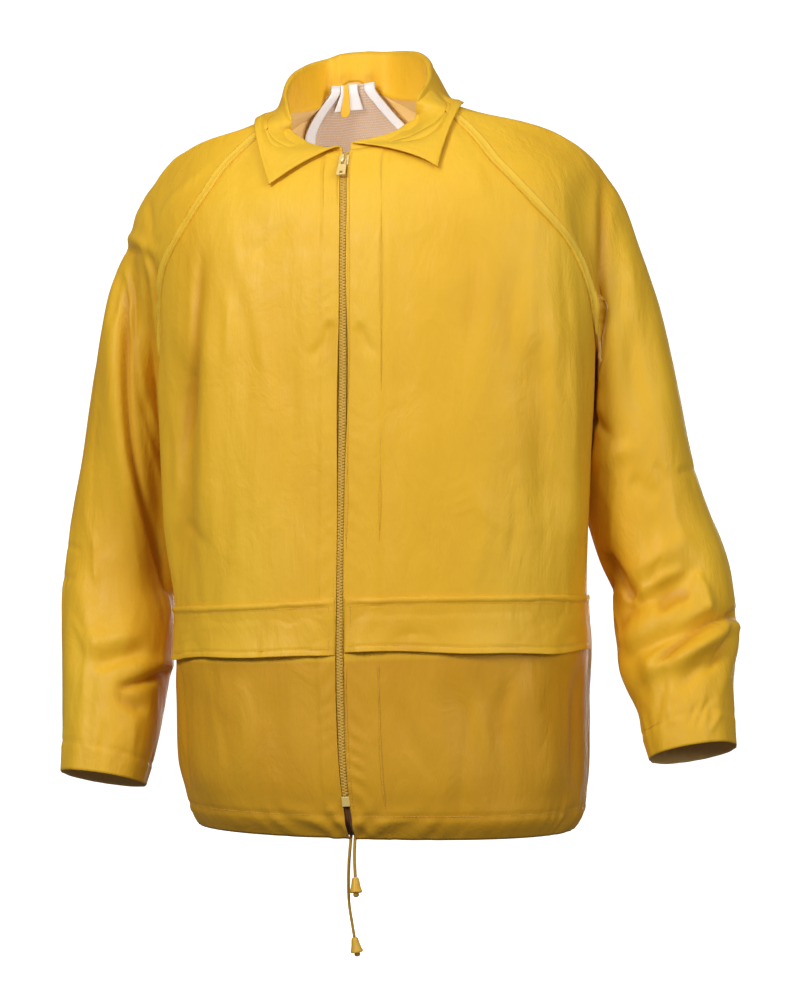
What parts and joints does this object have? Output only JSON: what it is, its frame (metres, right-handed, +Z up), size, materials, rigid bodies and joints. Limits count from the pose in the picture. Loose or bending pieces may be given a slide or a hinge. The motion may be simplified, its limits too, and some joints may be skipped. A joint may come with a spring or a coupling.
{
  "type": "rain suit jacket",
  "caption": "Hip-length waterproof rain jacket in its worn shape, empty inside: raglan sleeves, fold-down collar, open-ended zip, waist flaps and a drawcord hem.",
  "frame": {"origin": "on the jacket's centre line at the height of the sides of the neck, in the middle of the neck opening, where the wearer's shoulders carry it", "axes": "+Z up, -Y the way the front faces, +X towards the wearer's left"},
  "size_m": [0.7315, 0.3234, 0.9387],
  "materials": {
    "coated_cloth": "satin coated cloth",
    "zip_tape": "woven",
    "zip_teeth": "satin",
    "painted_metal": "satin",
    "mesh_lining": "knitted mesh",
    "white_tape": "woven",
    "drawcord": "braided",
    "cord_ends": "satin"
  },
  "bodies": {
    "jacket": {"front_left": "coated_cloth", "front_right": "coated_cloth", "back": "coated_cloth", "sleeve_left": "coated_cloth", "sleeve_right": "coated_cloth", "collar": "coated_cloth", "flap_left": "coated_cloth", "flap_right": "coated_cloth", "welt_front_left": "coated_cloth", "welt_back_left": "coated_cloth", "welt_front_right": "coated_cloth", "welt_back_right": "coated_cloth", "hanger_loop": "coated_cloth", "zip_tape_left": "zip_tape", "zip_tape_right": "zip_tape", "zip_chain": "zip_teeth", "zip_slider": "painted_metal", "zip_end_box": "painted_metal", "mesh_lining": "mesh_lining", "mesh_binding_left": "white_tape", "mesh_binding_right": "white_tape", "neck_label": "white_tape", "cord_long": "drawcord", "cord_short": "drawcord", "toggle_long": "cord_ends", "toggle_short": "cord_ends"},
    "zip_pull": {"zip_pull_tab": "painted_metal"}
  },
  "joints": [
    {"name": "pull_swing", "type": "hinge", "parent": "jacket", "child": "zip_pull", "pos_m": [-0.00371, -0.12142, -0.05899], "axis": [-0.9985, 0.0099, -0.0531], "range_deg": [0, 140]}
  ]
}
